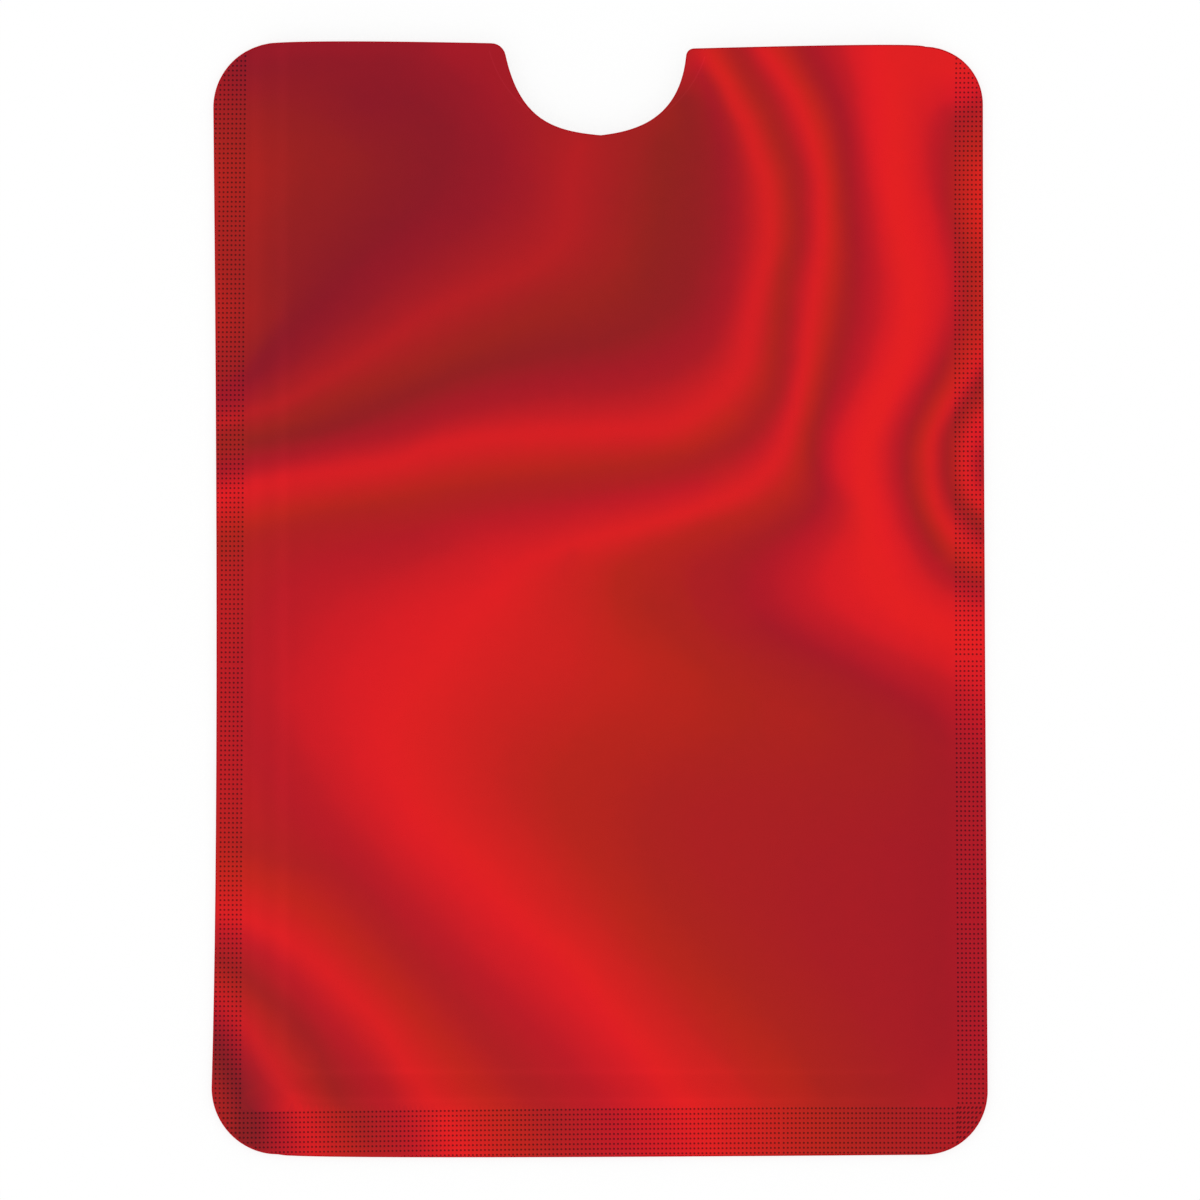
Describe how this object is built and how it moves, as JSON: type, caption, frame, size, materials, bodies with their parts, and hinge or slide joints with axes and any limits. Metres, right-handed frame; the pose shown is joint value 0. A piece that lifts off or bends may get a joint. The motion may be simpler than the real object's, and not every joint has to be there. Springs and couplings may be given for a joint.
{
  "type": "card sleeve",
  "caption": "Flat foil-laminate card sleeve, welded on both sides and the foot with dotted margins, open at the mouth with a half-round thumb notch.",
  "frame": {"origin": "centre of the sleeve's footprint, on the surface that its back wall lies on", "axes": "+X to the right of the front, +Y towards the open mouth, +Z out of the front wall"},
  "size_m": [0.0632, 0.091, 0.0013],
  "materials": {
    "red_film": "metallised red film, satin sheen",
    "shield_foil": "bright rolled foil",
    "liner_film": "milky heat-sealing film",
    "weld": "melted sealing film"
  },
  "bodies": {
    "root": {"front_film": "red_film", "front_shield": "shield_foil", "front_liner": "liner_film", "back_liner": "liner_film", "back_shield": "shield_foil", "back_film": "red_film", "left_seal": "weld", "right_seal": "weld", "bottom_seal": "weld"}
  },
  "joints": []
}
